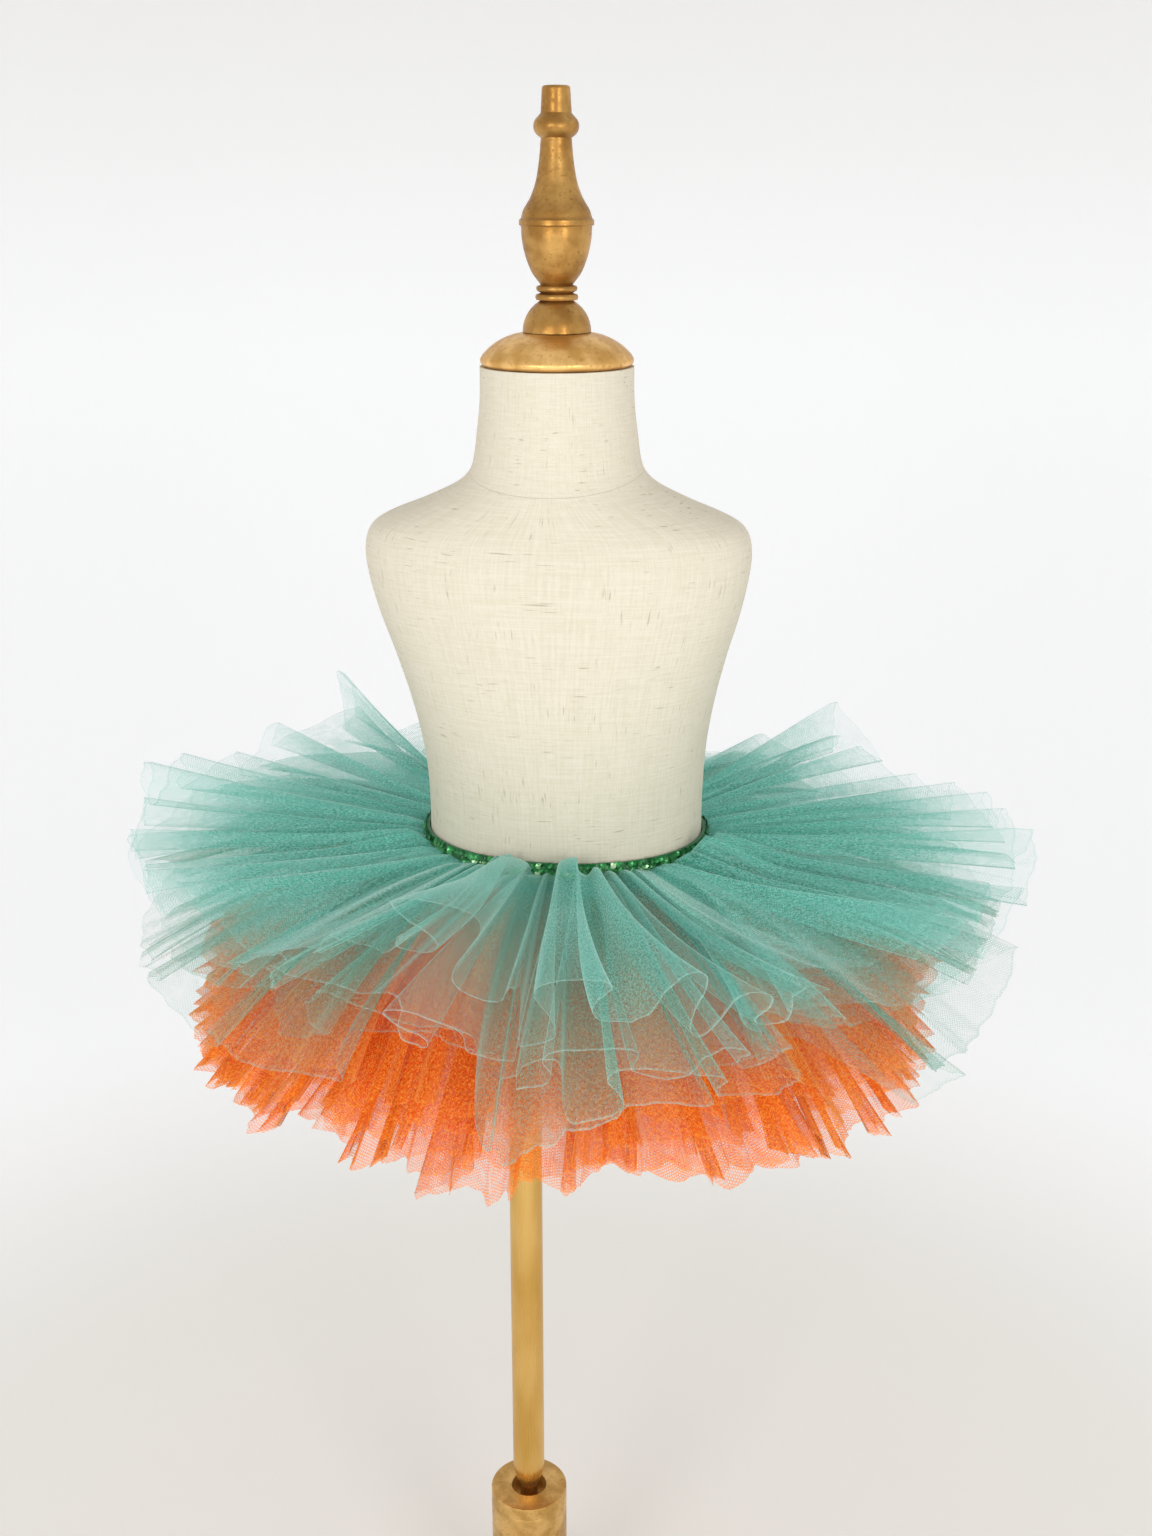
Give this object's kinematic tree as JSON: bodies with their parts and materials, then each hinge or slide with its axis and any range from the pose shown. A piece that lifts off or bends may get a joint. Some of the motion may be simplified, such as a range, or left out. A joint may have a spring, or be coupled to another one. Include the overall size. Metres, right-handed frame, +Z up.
{
  "type": "ballet tutu on a child's dress form",
  "caption": "Short layered tulle tutu, teal over orange, with a green sequin waistband, worn by a limbless linen child's dress form on a gold pole stand.",
  "frame": {"origin": "centre of the base plate's underside, under the pole", "axes": "+Z up along the pole, -Y towards the viewer and the tutu's front, +X to the viewer's right"},
  "size_m": [0.5405, 0.474, 1.1121],
  "materials": {
    "painted_gold": "turned wood painted antique gold, satin",
    "brushed_gold": "gold-plated steel tube, finely brushed along its length",
    "linen": "slubby natural linen drawn tight over the form",
    "green_sequins": "elastic covered with overlapping green sequins",
    "teal_tulle": "stiff nylon tulle, sheer",
    "orange_tulle": "stiff nylon tulle, sheer"
  },
  "bodies": {
    "root": {"base_plate": "painted_gold", "hub": "painted_gold", "pole": "brushed_gold", "pole_collar": "painted_gold", "form_body": "linen", "neck_cap": "painted_gold", "finial": "painted_gold", "waistband": "green_sequins", "teal_tier_1": "teal_tulle", "teal_tier_2": "teal_tulle", "teal_tier_3": "teal_tulle", "orange_tier_1": "orange_tulle", "orange_tier_2": "orange_tulle", "orange_tier_3": "orange_tulle"}
  },
  "joints": []
}
